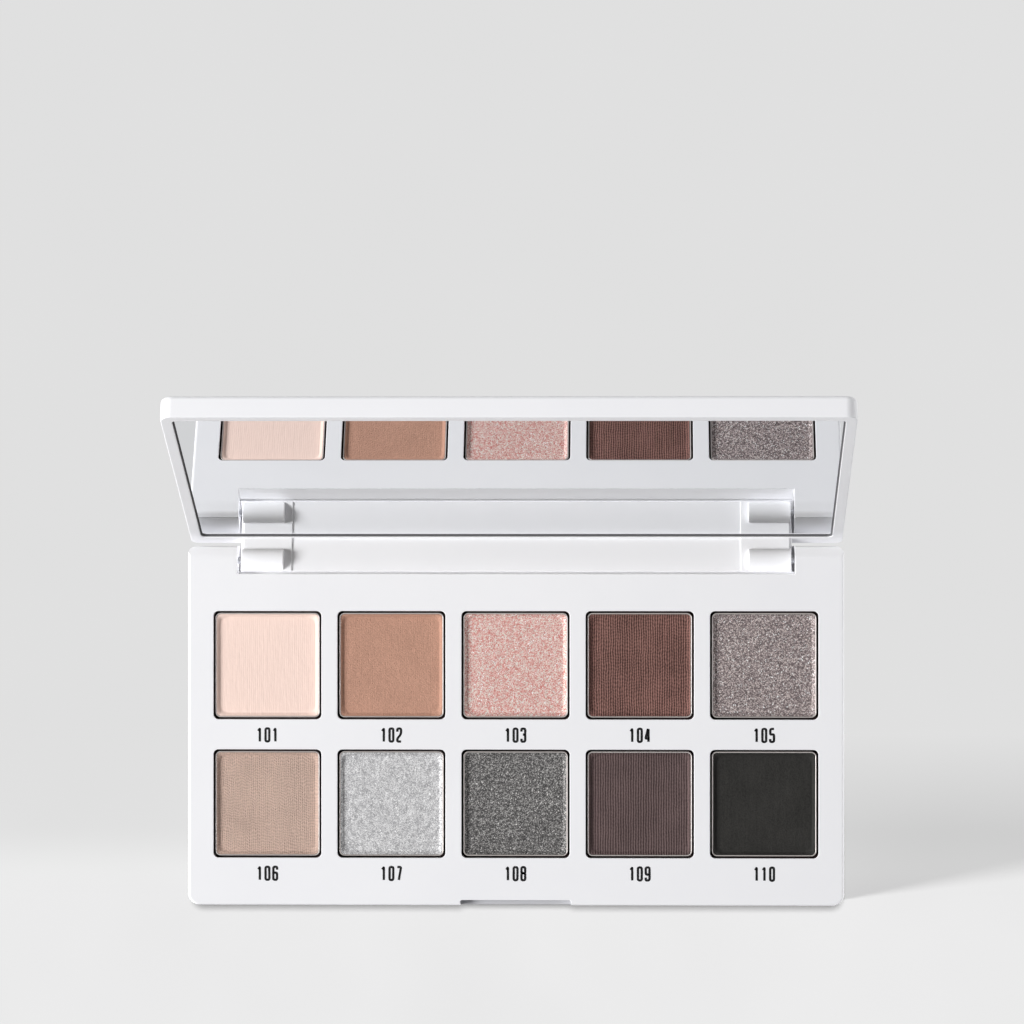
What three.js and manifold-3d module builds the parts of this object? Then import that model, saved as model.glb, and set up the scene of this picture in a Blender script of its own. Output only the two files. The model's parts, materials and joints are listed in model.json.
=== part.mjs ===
// A ten-shade eyeshadow palette with a mirrored lid, open to its stop.
//
// Millimetres. +Z is up, +Y is towards the hinge, and +X is to the user's right. The origin is the centre
// of the underside. The lid is drawn closed, as it is moulded and fitted, and its group then turns it
// about the hinge axis to the open stop.

import * as THREE from "three";
import { mergeVertices } from "three/addons/utils/BufferGeometryUtils.js";
import Module from "manifold-3d";

// ---------------------------------------------------------------- driving dimensions

const WIDTH = 140; // palette, side to side
const DEPTH = 76.6; // palette, front to back
const BASE_HEIGHT = 11; // underside to the top face
const LID_THICKNESS = 4.8; // contact rim to the outer face
const FRONT_CORNER = 2.4; // corner radii in plan
const REAR_CORNER = 1.7;
const OPEN_DEG = 109.6; // closed to the open stop

const BACK = DEPTH / 2;
const FRONT = -DEPTH / 2;

// Hinge: the axis runs along X, inside the back edge and under the top face.
const HINGE_INSET = 3.0;
const HINGE_DROP = 4.75;
const HINGE_Y = BACK - HINGE_INSET;
const HINGE_Z = BASE_HEIGHT - HINGE_DROP;
const RECESS_HALF = 59.6; // the slot at the back that the lid's flange fills
const RECESS_DEPTH = 5.93;
const FLANGE_HALF = 59.05;
const FLANGE_RADIUS = 2.56; // lower edge of the flange, round the hinge axis
const FLANGE_FACE = 3.16; // the flange's inner face, in from the back edge
const BARREL_RADIUS = 2.4;
const BARREL_INNER = 49.8; // |X| of the barrel's inner end
const BOSS_INNER = 48.1; // |X| where the flange thickens to carry the barrel
const BOSS_RISE = 0.3;
const PIN_RADIUS = 0.75;
const PIN_INNER = 51.3;
const PIN_OUTER = 64.8;
const BORE_RADIUS = 0.82;
const BORE_INNER = 51.0; // the bore is blind: it ends inside the barrel, and inside the ear
const BORE_OUTER = 65.1;
const SEAT_RADIUS = 2.66; // a rib on the recess's wall follows the flange's foot and closes the slot
const SEAT_TOP = HINGE_Z + 1.05;
const SEAT_FOOT = HINGE_Z - 0.5;

// Base: a shell, and a tray that is its whole top face.
const SEAM_DROP = 2.6; // top face to the parting line
const SEAM_GAP = 0.08;
const SEAM_Z = BASE_HEIGHT - SEAM_DROP;
const SHELL_WALL = 1.5;
const SHELL_FLOOR = 1.5;
const STOP_FLOOR = 1.85; // raised floor in the recess, which stops the flange
const EAR_OUTER = 66.5; // |X| of the solid block round each pin
const EAR_CLEARANCE = 0.2; // round the ear, inside the tray
const UNDER_EDGE = 0.8; // edge roundings
const FACE_EDGE = 0.6;
const SKIN = 1.4; // top face's thickness
const FLOOR_RIB = 1.0; // a pair of ribs under each row of wells
const FLOOR_RIB_OFFSET = 7; // row's centre line to each rib's
const FLOOR_RIB_END = 3; // rib's end to the shell's wall
const LIP_CLEARANCE = 0.15; // tray lip inside the shell's wall
const LIP_THICKNESS = 1.0;
const LIP_DROP = 1.8;
const RECESS_WALL = 1.2;
const NOTCH_HALF = 11.8; // finger notch in the front edge
const NOTCH_DEPTH = 1.1;
const REAR_RELIEF = HINGE_DROP; // the rear top edge is rounded about the hinge axis for the lid's rim

// Pans: two rows of five.
const COLUMNS = 5;
const COLUMN_PITCH = 26.5;
const ROW_INSETS = [25.4, 54.95]; // pan centres, in from the back edge
const OPENING = 23.1;
const OPENING_CORNER = 1.1;
const WELL_WALL = 1.0;
const WELL_FLOOR_DROP = 5.0; // top face to the well's floor
const WELL_FLOOR = 0.9;
const PAN_SIDE = 22.3;
const PAN_CORNER = 1.1;
const PAN_EDGE = 0.5;
const PAN_HEIGHT = 4.2;
const PAN_DROP = 0.55; // top face to the pan's rim
const TINPLATE = 0.25;
const CAKE_GAP = 0.05; // pressed powder to the pan's wall
const CAKE_DROP = 0.1; // pan's rim to the powder's edge
const DISH_DEPTH = 0.55; // powder's edge to its flat
const DISH_BORDER = 0.7;
const DISH_CORNER = 2.5;
const DISH_EDGE = 0.15; // cake's side to where the border starts to fall
const GLUE_RADIUS = 6;
const GLUE_GAP = 0.03;

// Lid: a shell with a pocket for the mirror.
const LID_GAP = 0.1; // closed lid to the top face
const LID_EDGE = 1.0;
const RIM_SIDE = 2.3;
const RIM_FRONT = 2.2;
const RIM_REAR = 3.8;
const RIM_CORNER = 1.2;
const LID_SKIN = 1.4;
const MIRROR_DROP = 0.5; // contact rim to the glass
const MIRROR_THICKNESS = 1.3;
const MIRROR_CLEARANCE = 0.3;
const TAPE_THICKNESS = 0.3;
const TAPE_INSET = 3.0;
const REST_GAP = 0.1; // between pieces that rest on each other inside the turned lid
const LID_RIB = 1.2;
const LID_RIB_PITCH = 22;
const LID_RIBS = 5;
const FLANGE_HEAD = 1; // how far the flange's head reaches into the lid

// Closing magnets, a pair in the base's front edge and a pair behind the mirror.
const MAGNET_RADIUS = 3.0;
const BASE_MAGNET_THICKNESS = 1.5;
const LID_MAGNET_THICKNESS = 0.8;
const MAGNET_X = 39.75;
const MAGNET_INSET = 5.9; // in from the front edge
const MAGNET_CLEARANCE = 0.2;
const MAGNET_RING = 0.9;

const CORNER_SEGMENTS = 4;
const EDGE_SEGMENTS = 3;
const PRESS_SEGMENTS = 2; // on the pans and powders
const ROUND_SEGMENTS = 20;
const REACH = 200; // longer than the palette, for cutters
const PAST = 1; // how far a cutter runs past the face it cuts
const ROOT = 0.5; // how far an added solid is sunk into the one that carries it
const LEAST_CORNER = 0.4; // smallest corner radius of an inset outline

// ---------------------------------------------------------------- solids and meshes

const wasm = await Module();
wasm.setup();

/** A closed three.js geometry as a manifold-3d solid. */
function solid(geometry) {
  const bare = geometry.index ? geometry.toNonIndexed() : geometry.clone();
  bare.deleteAttribute("normal");
  bare.deleteAttribute("uv");
  const merged = mergeVertices(bare, 1e-4);
  return new wasm.Manifold(
    new wasm.Mesh({
      numProp: 3,
      vertProperties: merged.attributes.position.array,
      triVerts: new Uint32Array(merged.index.array),
    }),
  );
}

/** A manifold-3d solid as a named three.js mesh. */
function mesh(name, shape, material) {
  const made = shape.getMesh();
  const geometry = new THREE.BufferGeometry();
  geometry.setAttribute("position", new THREE.BufferAttribute(made.vertProperties, 3));
  geometry.setIndex(new THREE.BufferAttribute(made.triVerts, 1));
  geometry.computeVertexNormals();
  const part = new THREE.Mesh(geometry, material);
  part.name = name;
  return part;
}

/** Joins solids. */
function join(...solids) {
  return solids.reduce((whole, next) => whole.add(next));
}

/** Cuts each of the cutters from a solid. */
function cut(body, ...cutters) {
  return cutters.reduce((whole, next) => whole.subtract(next), body);
}

/** A box from its low corner to its high corner. */
function box([x0, y0, z0], [x1, y1, z1]) {
  const geometry = new THREE.BoxGeometry(x1 - x0, y1 - y0, z1 - z0);
  geometry.translate((x0 + x1) / 2, (y0 + y1) / 2, (z0 + z1) / 2);
  return solid(geometry);
}

/** An upright cylinder. */
function disc(x, y, radius, z0, z1, segments = ROUND_SEGMENTS) {
  const geometry = new THREE.CylinderGeometry(radius, radius, z1 - z0, segments);
  geometry.rotateX(Math.PI / 2);
  geometry.translate(x, y, (z0 + z1) / 2);
  return solid(geometry);
}

/** A cylinder along the hinge axis, from x0 to x1. */
function axle(radius, x0, x1) {
  const geometry = new THREE.CylinderGeometry(radius, radius, x1 - x0, ROUND_SEGMENTS);
  geometry.rotateZ(Math.PI / 2);
  geometry.translate((x0 + x1) / 2, HINGE_Y, HINGE_Z);
  return solid(geometry);
}

/** A rectangle with round corners, whose rear pair may have its own radius. */
function outline(x0, y0, x1, y1, radius, rear = radius) {
  const shape = new THREE.Shape();
  shape.absarc(x1 - radius, y0 + radius, radius, -Math.PI / 2, 0);
  shape.absarc(x1 - rear, y1 - rear, rear, 0, Math.PI / 2);
  shape.absarc(x0 + rear, y1 - rear, rear, Math.PI / 2, Math.PI);
  shape.absarc(x0 + radius, y0 + radius, radius, Math.PI, 1.5 * Math.PI);
  return shape;
}

/** A square with round corners about a centre. */
function square(x, y, side, radius) {
  return outline(x - side / 2, y - side / 2, x + side / 2, y + side / 2, radius);
}

/** The palette's plan, moved in from its edge by an inset. */
function plan(inset = 0) {
  const front = Math.max(FRONT_CORNER - inset, LEAST_CORNER);
  const rear = Math.max(REAR_CORNER - inset, LEAST_CORNER);
  return outline(-WIDTH / 2 + inset, FRONT + inset, WIDTH / 2 - inset, BACK - inset, front, rear);
}

/** A shape standing from z0 to z1. */
function prism(shape, z0, z1) {
  const settings = { depth: z1 - z0, bevelEnabled: false, curveSegments: CORNER_SEGMENTS };
  return solid(new THREE.ExtrudeGeometry(shape, settings).translate(0, 0, z0));
}

/** A prism with both of its end edges rounded. */
function pillow(shape, z0, z1, edge, segments = EDGE_SEGMENTS) {
  const settings = {
    depth: z1 - z0 - 2 * edge,
    bevelThickness: edge,
    bevelSize: edge,
    bevelOffset: -edge,
    bevelSegments: segments,
    curveSegments: CORNER_SEGMENTS,
  };
  return solid(new THREE.ExtrudeGeometry(shape, settings).translate(0, 0, z0 + edge));
}

/** A shape from z0 to z1 with only its upper edge rounded. */
function roundedTop(shape, z0, z1, edge) {
  const slice = box([-REACH, -REACH, z0], [REACH, REACH, z1 + PAST]);
  return pillow(shape, z0 - 2 * edge, z1, edge).intersect(slice);
}

/** A shape from z0 to z1 with only its lower edge rounded. */
function roundedBottom(shape, z0, z1, edge, segments = EDGE_SEGMENTS) {
  const slice = box([-REACH, -REACH, z0 - PAST], [REACH, REACH, z1]);
  return pillow(shape, z0, z1 + 2 * edge, edge, segments).intersect(slice);
}

/** A profile in the YZ plane, swept along X from x0 to x1. */
function sweepX(profile, x0, x1) {
  const settings = { depth: x1 - x0, bevelEnabled: false, curveSegments: ROUND_SEGMENTS / 2 };
  const geometry = new THREE.ExtrudeGeometry(profile, settings);
  // The profile's own X and Y become Y and Z, and its depth runs along X.
  const turn = new THREE.Matrix4().makeBasis(
    new THREE.Vector3(0, 1, 0),
    new THREE.Vector3(0, 0, 1),
    new THREE.Vector3(1, 0, 0),
  );
  return solid(geometry.applyMatrix4(turn).translate(x0, 0, 0));
}

/** Calls make for each pan, with its number, its centre and its index from 0. */
function forEachPan(make) {
  ROW_INSETS.forEach((inset, row) => {
    for (let column = 0; column < COLUMNS; column += 1) {
      const index = row * COLUMNS + column;
      const x = (column - (COLUMNS - 1) / 2) * COLUMN_PITCH;
      make(String(index + 1).padStart(2, "0"), x, BACK - inset, index);
    }
  });
}

const SIDES = { left: -1, right: 1 };
const MAGNET_Y = FRONT + MAGNET_INSET;

// ---------------------------------------------------------------- materials

/** A plain material: colour, roughness and metalness. */
function finish(color, roughness, metalness = 0) {
  return new THREE.MeshStandardMaterial({ color, roughness, metalness });
}

const whitePlastic = finish(0xf1f1f4, 0.28);
const tinplate = finish(0xb9b5b0, 0.35, 1);
const steel = finish(0xc2c4c8, 0.3, 1);
const nickel = finish(0xa9abae, 0.35, 1);
const silvering = finish(0xdfe3e6, 0.03, 1);
const foamTape = finish(0xdedbd2, 0.9);
const hotMelt = finish(0xe6dcc0, 0.6);

// Shades, back row then front row, left to right. A metallic shade has a higher metalness.
const shades = [
  finish(0xf6e0d6, 0.95),
  finish(0xbe927a, 0.95),
  finish(0xdfb6ac, 0.5, 0.5),
  finish(0x6e5045, 0.95),
  finish(0x8a7f7c, 0.5, 0.5),
  finish(0xbda492, 0.95),
  finish(0xc4c5c7, 0.4, 0.7),
  finish(0x6f7070, 0.45, 0.6),
  finish(0x685353, 0.95),
  finish(0x373633, 0.95),
];

// ---------------------------------------------------------------- base

/** The bottom casing: floor, walls, ribs under the wells, and an ear at each end of the hinge recess. */
function baseShell() {
  const top = SEAM_Z - SEAM_GAP;
  const outside = roundedBottom(plan(), 0, top, UNDER_EDGE);
  const inside = prism(plan(SHELL_WALL), SHELL_FLOOR, top + PAST);
  let shell = cut(outside, inside);
  for (const side of Object.values(SIDES)) {
    const near = side * RECESS_HALF;
    const far = side * EAR_OUTER;
    const low = [Math.min(near, far), BACK - RECESS_DEPTH - RECESS_WALL, SHELL_FLOOR - ROOT];
    shell = shell.add(box(low, [Math.max(near, far), BACK - SHELL_WALL / 2, top]));
  }
  const ribTop = BASE_HEIGHT - WELL_FLOOR_DROP - WELL_FLOOR - REST_GAP;
  const ribReach = WIDTH / 2 - SHELL_WALL - FLOOR_RIB_END;
  for (const inset of ROW_INSETS) {
    for (const offset of [-FLOOR_RIB_OFFSET, FLOOR_RIB_OFFSET]) {
      const low = BACK - inset + offset - FLOOR_RIB / 2;
      shell = shell.add(box([-ribReach, low, SHELL_FLOOR - ROOT], [ribReach, low + FLOOR_RIB, ribTop]));
    }
  }
  const stopFloor = box(
    [-RECESS_HALF, BACK - RECESS_DEPTH, SHELL_FLOOR - ROOT],
    [RECESS_HALF, BACK - SHELL_WALL / 2, STOP_FLOOR],
  );
  const recess = box(
    [-RECESS_HALF, BACK - RECESS_DEPTH, STOP_FLOOR],
    [RECESS_HALF, BACK + PAST, BASE_HEIGHT],
  );
  return cut(shell.add(stopFloor), recess, axle(BORE_RADIUS, -BORE_OUTER, BORE_OUTER));
}

/** The top face with its ten wells, the lip that locates it in the shell, and two magnet rings. */
function panTray() {
  const under = BASE_HEIGHT - SKIN;
  const lipOuter = SHELL_WALL + LIP_CLEARANCE;
  const lipInner = lipOuter + LIP_THICKNESS;
  const face = roundedTop(plan(), SEAM_Z, BASE_HEIGHT, FACE_EDGE);
  const lip = prism(plan(lipOuter), SEAM_Z - LIP_DROP, SEAM_Z + ROOT);
  let tray = cut(join(face, lip), prism(plan(lipInner), SEAM_Z - LIP_DROP - PAST, under));

  // The recess at the back, closed off from the inside by a wall that stands on the shell's floor.
  const recessFront = BACK - RECESS_DEPTH;
  const wallFoot = STOP_FLOOR + REST_GAP;
  const wallHalf = RECESS_HALF - REST_GAP;
  tray = tray.add(
    box([-wallHalf, recessFront - RECESS_WALL, wallFoot], [wallHalf, recessFront, under + ROOT]),
  );
  const earLow = recessFront - RECESS_WALL - EAR_CLEARANCE;
  for (const side of Object.values(SIDES)) {
    const near = side * RECESS_HALF;
    const far = side * (EAR_OUTER + EAR_CLEARANCE);
    const low = [Math.min(near, far), earLow, 0];
    tray = tray.subtract(box(low, [Math.max(near, far), BACK + PAST, SEAM_Z]));
  }
  const recess = box([-RECESS_HALF, recessFront, 0], [RECESS_HALF, BACK + PAST, BASE_HEIGHT + PAST]);
  const seat = box([-wallHalf, recessFront - RECESS_WALL / 2, SEAT_FOOT], [wallHalf, HINGE_Y, SEAT_TOP]);

  // The wells hang from the face.
  const wellFloor = BASE_HEIGHT - WELL_FLOOR_DROP;
  const wellSide = OPENING + 2 * WELL_WALL;
  forEachPan((number, x, y) => {
    const cup = square(x, y, wellSide, OPENING_CORNER + WELL_WALL);
    tray = tray.add(prism(cup, wellFloor - WELL_FLOOR, under + ROOT));
  });
  forEachPan((number, x, y) => {
    const opening = square(x, y, OPENING, OPENING_CORNER);
    tray = tray.subtract(prism(opening, wellFloor, BASE_HEIGHT + PAST));
  });

  // A ring under the face holds each magnet.
  const ringFoot = under - BASE_MAGNET_THICKNESS - MAGNET_CLEARANCE;
  const pocket = MAGNET_RADIUS + MAGNET_CLEARANCE;
  for (const side of Object.values(SIDES)) {
    const x = side * MAGNET_X;
    tray = tray.add(disc(x, MAGNET_Y, pocket + MAGNET_RING, ringFoot, under + ROOT));
    tray = tray.subtract(disc(x, MAGNET_Y, pocket, ringFoot - PAST, under));
  }

  const notch = box(
    [-NOTCH_HALF, FRONT - PAST, SEAM_Z - PAST],
    [NOTCH_HALF, FRONT + NOTCH_DEPTH, BASE_HEIGHT + PAST],
  );
  const seatRib = cut(seat, axle(SEAT_RADIUS, -REACH, REACH));
  return cut(tray, recess, notch, rearRelief()).add(seatRib);
}

/** What is cut from the rear top edge so that the lid's rim can swing past it. */
function rearRelief() {
  const corner = new THREE.Shape();
  const end = Math.acos((HINGE_INSET + PAST) / REAR_RELIEF);
  corner.moveTo(HINGE_Y, HINGE_Z + REAR_RELIEF);
  corner.absarc(HINGE_Y, HINGE_Z, REAR_RELIEF, Math.PI / 2, end, true);
  corner.lineTo(HINGE_Y + REAR_RELIEF + PAST, HINGE_Z);
  corner.lineTo(HINGE_Y + REAR_RELIEF + PAST, BASE_HEIGHT + PAST);
  corner.lineTo(HINGE_Y, BASE_HEIGHT + PAST);
  corner.closePath();
  return sweepX(corner, -REACH, REACH);
}

/** A pressed tinplate pan, open at the top. */
function pan(x, y) {
  const rim = BASE_HEIGHT - PAN_DROP;
  const foot = rim - PAN_HEIGHT;
  const outside = roundedBottom(square(x, y, PAN_SIDE, PAN_CORNER), foot, rim, PAN_EDGE, PRESS_SEGMENTS);
  const inner = square(x, y, PAN_SIDE - 2 * TINPLATE, PAN_CORNER - TINPLATE);
  return outside.subtract(prism(inner, foot + TINPLATE, rim + PAST));
}

/** A cake of pressed powder: a flat with a border that climbs to the pan's rim. */
function powder(x, y) {
  const foot = BASE_HEIGHT - PAN_DROP - PAN_HEIGHT + TINPLATE + CAKE_GAP;
  const edge = BASE_HEIGHT - PAN_DROP - CAKE_DROP;
  const side = PAN_SIDE - 2 * (TINPLATE + CAKE_GAP);
  const cake = prism(square(x, y, side, PAN_CORNER - TINPLATE), foot, edge);
  const dish = square(x, y, side - 2 * DISH_EDGE, DISH_CORNER);
  const bevel = {
    depth: DISH_DEPTH + PAST,
    bevelThickness: DISH_DEPTH,
    bevelSize: DISH_BORDER,
    bevelOffset: -DISH_BORDER,
    bevelSegments: PRESS_SEGMENTS,
    curveSegments: CORNER_SEGMENTS,
  };
  return cake.subtract(solid(new THREE.ExtrudeGeometry(dish, bevel).translate(0, 0, edge)));
}

/** The spot of glue that holds a pan in its well. */
function glueSpot(x, y) {
  const wellFloor = BASE_HEIGHT - WELL_FLOOR_DROP;
  const panFoot = BASE_HEIGHT - PAN_DROP - PAN_HEIGHT;
  return disc(x, y, GLUE_RADIUS, wellFloor + GLUE_GAP, panFoot - GLUE_GAP);
}

/** A plain steel pin, pressed into the ear and running in the lid's barrel. */
function hingePin(side) {
  const ends = [side * PIN_INNER, side * PIN_OUTER];
  return axle(PIN_RADIUS, Math.min(...ends), Math.max(...ends));
}

function baseMagnet(side) {
  const top = BASE_HEIGHT - SKIN - REST_GAP;
  return disc(side * MAGNET_X, MAGNET_Y, MAGNET_RADIUS, top - BASE_MAGNET_THICKNESS, top);
}

// ---------------------------------------------------------------- lid, drawn closed

const LID_Z = BASE_HEIGHT + LID_GAP; // the contact rim
const LID_TOP = LID_Z + LID_THICKNESS;
const POCKET_TOP = LID_TOP - LID_SKIN;
const MIRROR_BACK = LID_Z + MIRROR_DROP + MIRROR_THICKNESS;
const LEDGE_Z = MIRROR_BACK + TAPE_THICKNESS + 2 * REST_GAP; // what the tape is stuck to

/** The mirror's pocket in plan, made smaller by an inset. */
function pocket(inset) {
  const side = WIDTH / 2 - RIM_SIDE - inset;
  const corner = Math.max(RIM_CORNER - inset, LEAST_CORNER);
  return outline(-side, FRONT + RIM_FRONT + inset, side, BACK - RIM_REAR - inset, corner);
}

/** The section of the flange that closes the recess: a plate with its foot rounded about the hinge. */
function flangeProfile(rise = 0) {
  const face = BACK - FLANGE_FACE - rise;
  const across = face - HINGE_Y;
  const start = Math.atan2(-Math.sqrt(FLANGE_RADIUS ** 2 - across ** 2), across);
  const shape = new THREE.Shape();
  shape.moveTo(BACK, LID_Z);
  shape.lineTo(BACK, LID_Z + FLANGE_HEAD);
  shape.lineTo(face, LID_Z + FLANGE_HEAD);
  shape.absarc(HINGE_Y, HINGE_Z, FLANGE_RADIUS, start, 0, false);
  shape.closePath();
  return shape;
}

/** The lid: outer face, rim, ribs behind the mirror, and the flange with its two hinge barrels. */
function lidShell() {
  let lid = roundedTop(plan(), LID_Z, LID_TOP, LID_EDGE);
  lid = lid.subtract(prism(pocket(0), LID_Z - PAST, LEDGE_Z));
  lid = lid.subtract(prism(pocket(LID_RIB), LEDGE_Z - PAST, POCKET_TOP));
  for (let rib = 0; rib < LID_RIBS; rib += 1) {
    const x = (rib - (LID_RIBS - 1) / 2) * LID_RIB_PITCH;
    const low = [x - LID_RIB / 2, FRONT + RIM_FRONT + ROOT, LEDGE_Z];
    lid = lid.add(box(low, [x + LID_RIB / 2, BACK - RIM_REAR - ROOT, POCKET_TOP + ROOT]));
  }
  for (const side of Object.values(SIDES)) {
    const x = side * MAGNET_X;
    const seat = MAGNET_RADIUS + MAGNET_CLEARANCE;
    lid = lid.add(disc(x, MAGNET_Y, seat + MAGNET_RING, LEDGE_Z, POCKET_TOP + ROOT));
    lid = lid.subtract(disc(x, MAGNET_Y, seat, LEDGE_Z - PAST, POCKET_TOP));
  }
  lid = lid.add(sweepX(flangeProfile(), -FLANGE_HALF, FLANGE_HALF));
  for (const side of Object.values(SIDES)) {
    const boss = [side * BOSS_INNER, side * FLANGE_HALF];
    const barrel = [side * BARREL_INNER, side * FLANGE_HALF];
    lid = lid.add(sweepX(flangeProfile(BOSS_RISE), Math.min(...boss), Math.max(...boss)));
    lid = lid.add(axle(BARREL_RADIUS, Math.min(...barrel), Math.max(...barrel)));
    const bore = [side * BORE_INNER, side * (FLANGE_HALF + PAST)];
    lid = lid.subtract(axle(BORE_RADIUS, Math.min(...bore), Math.max(...bore)));
  }
  return lid;
}

function mirrorGlass() {
  return prism(pocket(MIRROR_CLEARANCE), LID_Z + MIRROR_DROP, MIRROR_BACK);
}

/** The sheet of double-sided tape behind the mirror. */
function mirrorTape() {
  const foot = MIRROR_BACK + REST_GAP;
  return prism(pocket(TAPE_INSET - RIM_SIDE), foot, foot + TAPE_THICKNESS);
}

function lidMagnet(side) {
  const foot = LEDGE_Z + REST_GAP;
  return disc(side * MAGNET_X, MAGNET_Y, MAGNET_RADIUS, foot, foot + LID_MAGNET_THICKNESS);
}

// ---------------------------------------------------------------- assembly

const palette = new THREE.Group();

palette.add(mesh("base_shell", baseShell(), whitePlastic));
palette.add(mesh("pan_tray", panTray(), whitePlastic));
forEachPan((number, x, y, index) => {
  palette.add(mesh("pan_" + number, pan(x, y), tinplate));
  palette.add(mesh("powder_" + number, powder(x, y), shades[index]));
  palette.add(mesh("glue_spot_" + number, glueSpot(x, y), hotMelt));
});

// The lid's pieces are drawn closed, so their group is turned about the hinge axis.
const lid = new THREE.Group();
lid.position.set(0, -HINGE_Y, -HINGE_Z);
const opened = new THREE.Group();
opened.position.set(0, HINGE_Y, HINGE_Z);
opened.rotation.x = -THREE.MathUtils.degToRad(OPEN_DEG);
opened.add(lid);
palette.add(opened);

lid.add(mesh("lid_shell", lidShell(), whitePlastic));
lid.add(mesh("mirror_glass", mirrorGlass(), silvering));
lid.add(mesh("mirror_tape", mirrorTape(), foamTape));
for (const [name, side] of Object.entries(SIDES)) {
  palette.add(mesh("hinge_pin_" + name, hingePin(side), steel));
  palette.add(mesh("base_magnet_" + name, baseMagnet(side), nickel));
  lid.add(mesh("lid_magnet_" + name, lidMagnet(side), nickel));
}

export default palette;
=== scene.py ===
"""The looks of a ten-shade eyeshadow palette with a mirrored lid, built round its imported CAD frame."""

import json
import math

import bmesh
import bpy
from mathutils import Matrix, Vector, noise


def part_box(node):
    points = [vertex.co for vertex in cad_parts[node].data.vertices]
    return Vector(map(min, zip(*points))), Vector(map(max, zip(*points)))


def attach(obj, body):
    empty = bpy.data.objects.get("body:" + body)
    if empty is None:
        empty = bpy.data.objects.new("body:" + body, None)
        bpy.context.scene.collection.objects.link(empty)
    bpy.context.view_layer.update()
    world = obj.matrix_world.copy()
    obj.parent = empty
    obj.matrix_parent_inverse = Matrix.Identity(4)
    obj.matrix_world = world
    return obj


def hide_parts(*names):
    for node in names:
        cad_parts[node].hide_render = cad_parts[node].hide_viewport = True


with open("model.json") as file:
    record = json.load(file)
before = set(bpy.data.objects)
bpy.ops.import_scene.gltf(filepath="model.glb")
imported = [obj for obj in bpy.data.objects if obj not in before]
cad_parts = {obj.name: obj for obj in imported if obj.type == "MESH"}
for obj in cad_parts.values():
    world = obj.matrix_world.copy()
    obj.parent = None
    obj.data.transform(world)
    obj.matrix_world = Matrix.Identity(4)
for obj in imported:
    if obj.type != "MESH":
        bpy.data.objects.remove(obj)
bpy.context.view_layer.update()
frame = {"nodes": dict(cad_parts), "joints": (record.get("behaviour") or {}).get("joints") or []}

METRE = 0.001  # one millimetre: every size and place below is in millimetres, and meshes are in metres


# ---------------------------------------------------------------- sizes and settings

def box(node):
    """A CAD node's lowest and highest corner, in millimetres."""
    low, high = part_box(node)
    return Vector(low) / METRE, Vector(high) / METRE


JOINT = frame["joints"][0]
HINGE_Y = JOINT["pos_m"][1] / METRE
HINGE_Z = JOINT["pos_m"][2] / METRE
OPEN = math.radians(JOINT["range_deg"][1])

SHELL_LOW, SHELL_HIGH = box("base_shell")
TRAY_LOW, TRAY_HIGH = box("pan_tray")
SIDE = TRAY_HIGH.x
FRONT = SHELL_LOW.y
BACK = SHELL_HIGH.y
TOP = TRAY_HIGH.z
SHADES = ["%02d" % number for number in range(1, 11)]

FRONT_CORNER = 2.4
REAR_CORNER = 1.7
SEAM = 2.6  # top face to the parting line
SEAM_EDGE = 0.12
FACE_EDGE = 0.6
CUT_EDGE = 0.16  # rounding of the openings' and the recess's edges
UNDER_EDGE = 0.8
SHELL_FLOOR = 1.5
SHELL_WALL = 1.5
SHELL_REAR = 1.2  # the shell's inside ends this far in front of the recess
SHELL_CORNER = 0.9
BORE_END = 1.4  # what a pin's bore leaves of its ear
PAST = 1  # cutters reach this far past the faces inside the palette
CLEAR = 5  # and this far past its outside
STOP_FLOOR = 1.85
LIP = 1.65
EAR_OUTER = 66.5
RECESS_HALF = 59.6
RECESS_DEPTH = 5.93
NOTCH_HALF = 11.8
NOTCH_DEPTH = 1.1
NOTCH_SHADE_LOW = 0.25  # painted grey shade in the notch, under and over the parting line
NOTCH_SHADE_HIGH = 0.05
RELIEF_END = 0.25  # base's back to the low end of the curve that clears the lid's swing
RELIEF_DROP = 0.4
TROUGH_AHEAD = 1.4  # the shell's trough and the room for its ears start this far in front of the recess
OPENING = 23.1
OPENING_CORNER = 1.1
WELL_DROP = 5.0
WELL_SHADE_START = 0.3  # how far the wells' white edge runs down before their painted shade starts
WELL_SHADE_SIDE = 3.5  # the painted shade in the wells stays this far inside the base's sides
WELL_SHADE_FRONT = 4.0  # and its front edge
WELL_SHADE_REAR = 0.8  # and the hinge recess

PAN_CORNER = 1.1
TINPLATE = 0.25
PAN_EDGE = 0.5
CAKE_CORNER = 0.85
DISH_DEPTH = 0.55
DISH_BORDER = 0.7
DISH_CORNER = 1.8
CAKE_STEPS = 128
FLAKES = 5.4  # shimmer flakes to the millimetre
FLAKE_TILT = 0.4
FLAKE_METAL = 0.12
GLINT_SHARE = 0.05  # share of the flakes that spark with a painted glint

LID_GAP = 0.1
LID_THICKNESS = 4.8
LID_EDGE = 1.0
RIM_EDGE = 0.25
RIM_SIDE = 2.3
RIM_FRONT = 2.2
RIM_REAR = 3.8
RIM_CORNER = 1.2
LEDGE = 2.3  # contact rim to what the mirror's tape is stuck to
MIRROR_DROP = 0.5
MIRROR_THICKNESS = 1.3
MIRROR_CLEARANCE = 0.3
MIRROR_EDGE = 0.1
BED_SHADE_DROP = 0.2  # contact rim to the painted shade round the glass
SHADE_PAST = 0.1  # painted shade reaches this far past the faces that it covers
WALL_PAST = 0.03  # and this far past the walls round the mirror
FLANGE_HALF = 59.05
FLANGE_FACE = 3.16
FLANGE_RADIUS = 2.56
FLANGE_END = 0.3
BARREL_RADIUS = 2.4
BARREL_INNER = 49.8
BARREL_END = 0.2
BOSS_INNER = 48.1
BOSS_RISE = 0.3
BORE_RADIUS = 0.82
BORE_INNER = 51.0
BOSS_END = 0.15
BOSS_SHORT = 0.5  # how far short of the flange's ends its bosses and barrels stop
BARREL_SHORT = 0.2
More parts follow.
